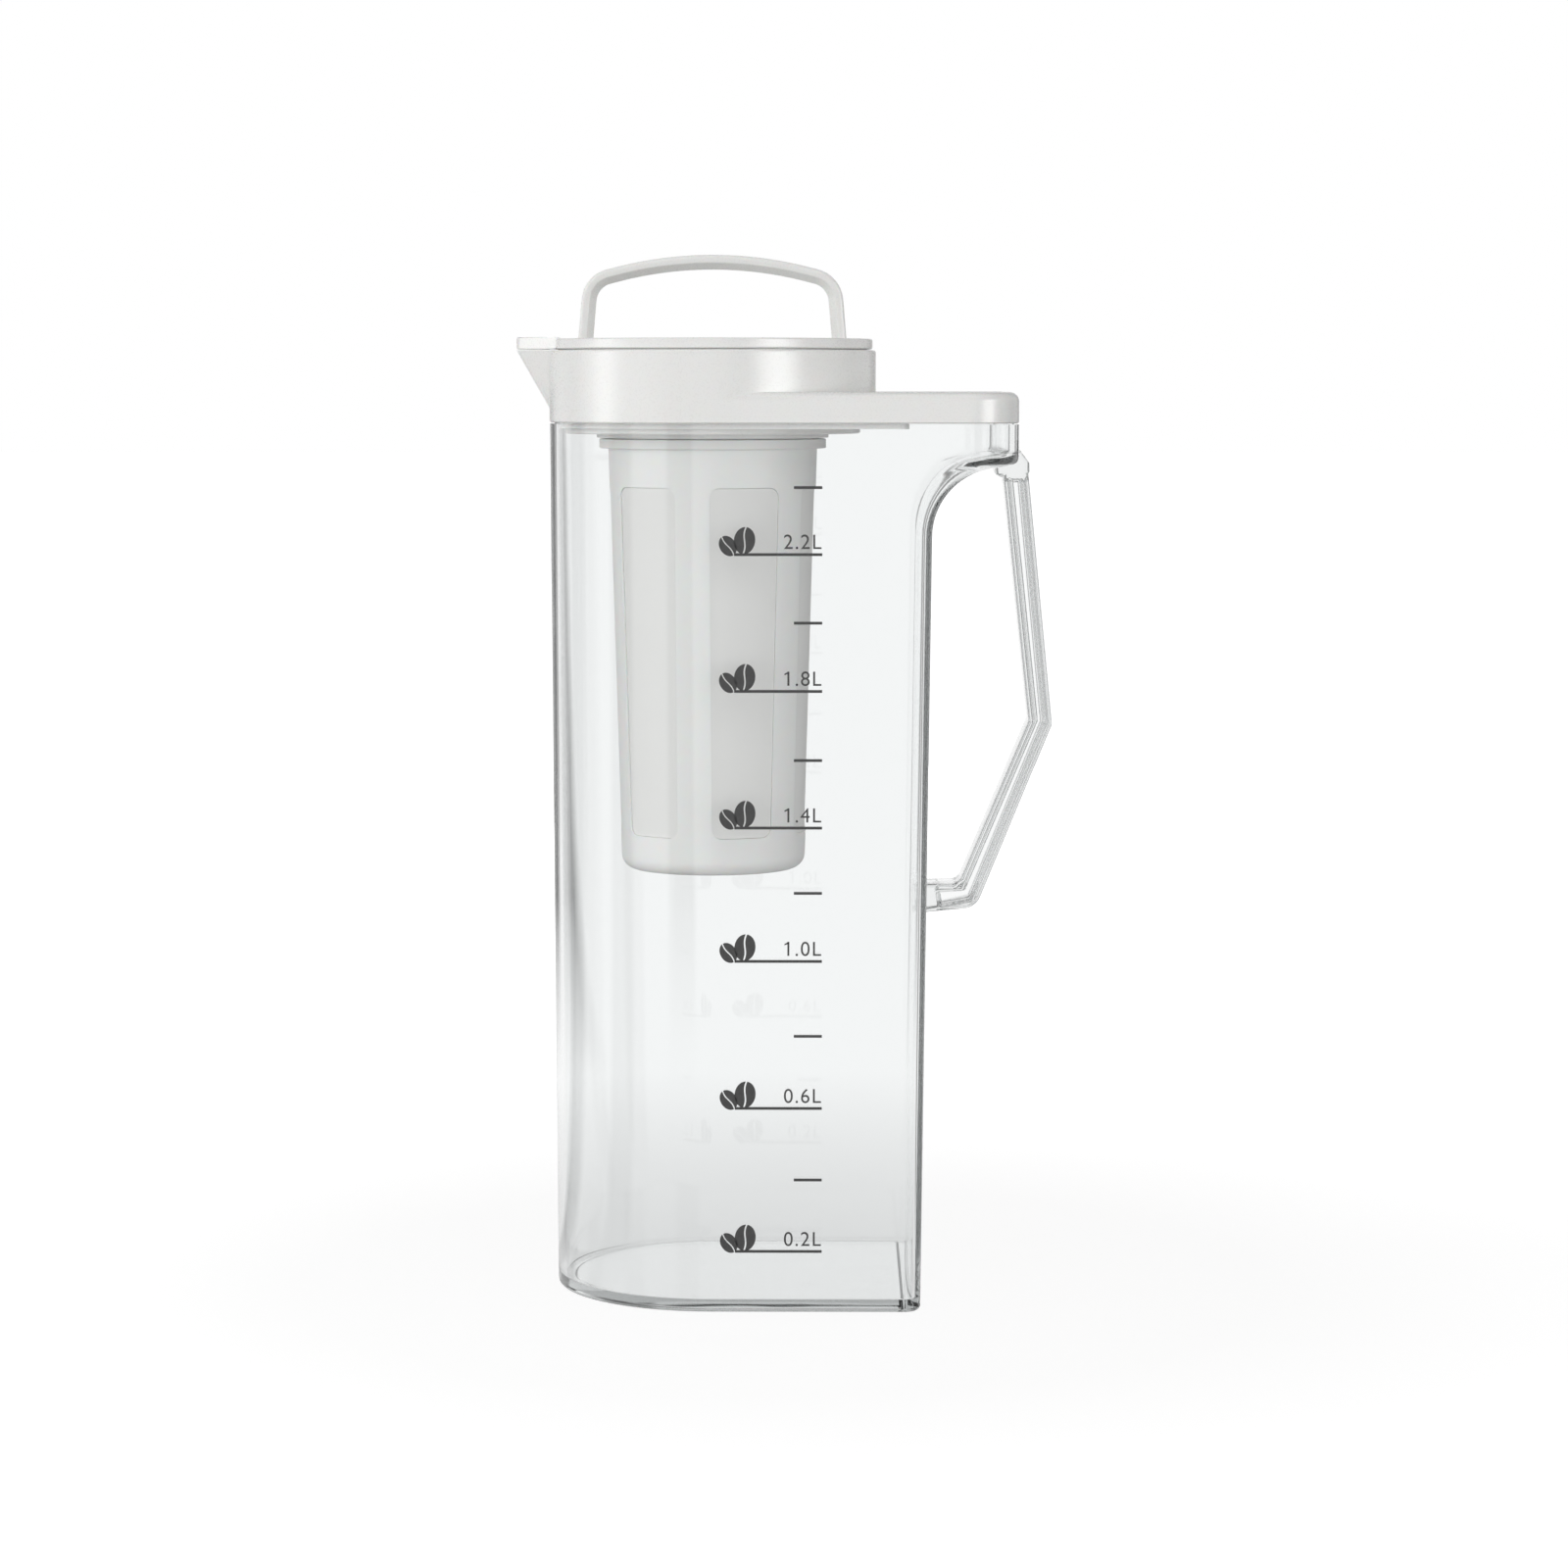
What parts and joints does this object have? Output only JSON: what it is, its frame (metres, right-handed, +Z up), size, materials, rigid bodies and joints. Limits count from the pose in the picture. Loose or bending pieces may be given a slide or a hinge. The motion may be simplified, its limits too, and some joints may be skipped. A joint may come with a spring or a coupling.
{
  "type": "cold brew pitcher",
  "caption": "Tall clear D-shaped jug with a side handle, white pour lid with a spout flap, lift-out lid with a folding carry handle and a hanging filter basket.",
  "frame": {"origin": "middle of the footprint, on the surface that the jug stands on", "axes": "+Z up, -X towards the spout, +X towards the side handle, -Y towards the printed scale"},
  "size_m": [0.1626, 0.099, 0.3147],
  "materials": {
    "clear_plastic": "clear, polished moulding",
    "white_plastic": "satin moulding",
    "frosted_plastic": "fine matte moulding",
    "silicone": "matte, translucent",
    "nylon_mesh": "fine woven screen",
    "steel": "drawn wire"
  },
  "bodies": {
    "jug": {"jug_body": "clear_plastic", "side_handle": "clear_plastic"},
    "pour_lid": {"spout_collar": "white_plastic", "collar_gasket": "silicone"},
    "lid": {"lid_cap": "white_plastic", "lid_plug": "white_plastic", "lid_seal": "silicone"},
    "flap": {"spout_flap": "white_plastic", "flap_pin": "steel"},
    "bail": {"carry_handle": "white_plastic"},
    "basket": {"basket_frame": "frosted_plastic", "basket_mesh_1": "nylon_mesh", "basket_mesh_2": "nylon_mesh", "basket_mesh_3": "nylon_mesh", "basket_mesh_4": "nylon_mesh", "basket_mesh_5": "nylon_mesh", "basket_mesh_6": "nylon_mesh"}
  },
  "joints": [
    {"name": "collar_lift", "type": "slide", "parent": "jug", "child": "pour_lid", "axis": [0, 0, 1], "range_m": [0, 0.15]},
    {"name": "lid_lift", "type": "slide", "parent": "pour_lid", "child": "lid", "axis": [0, 0, 1], "range_m": [0, 0.165]},
    {"name": "flap_hinge", "type": "hinge", "parent": "lid", "child": "flap", "pos_m": [-0.06955, 0, 0.2882], "axis": [0, 1, 0], "range_deg": [0, 95]},
    {"name": "carry_fold", "type": "hinge", "parent": "lid", "child": "bail", "pos_m": [-0.02195, 0, 0.286], "axis": [1, 0, 0], "range_deg": [-90, 90]},
    {"name": "basket_twist", "type": "hinge", "parent": "lid", "child": "basket", "pos_m": [-0.02195, 0, 0.263], "axis": [0, 0, 1], "range_deg": [0, 45]}
  ]
}
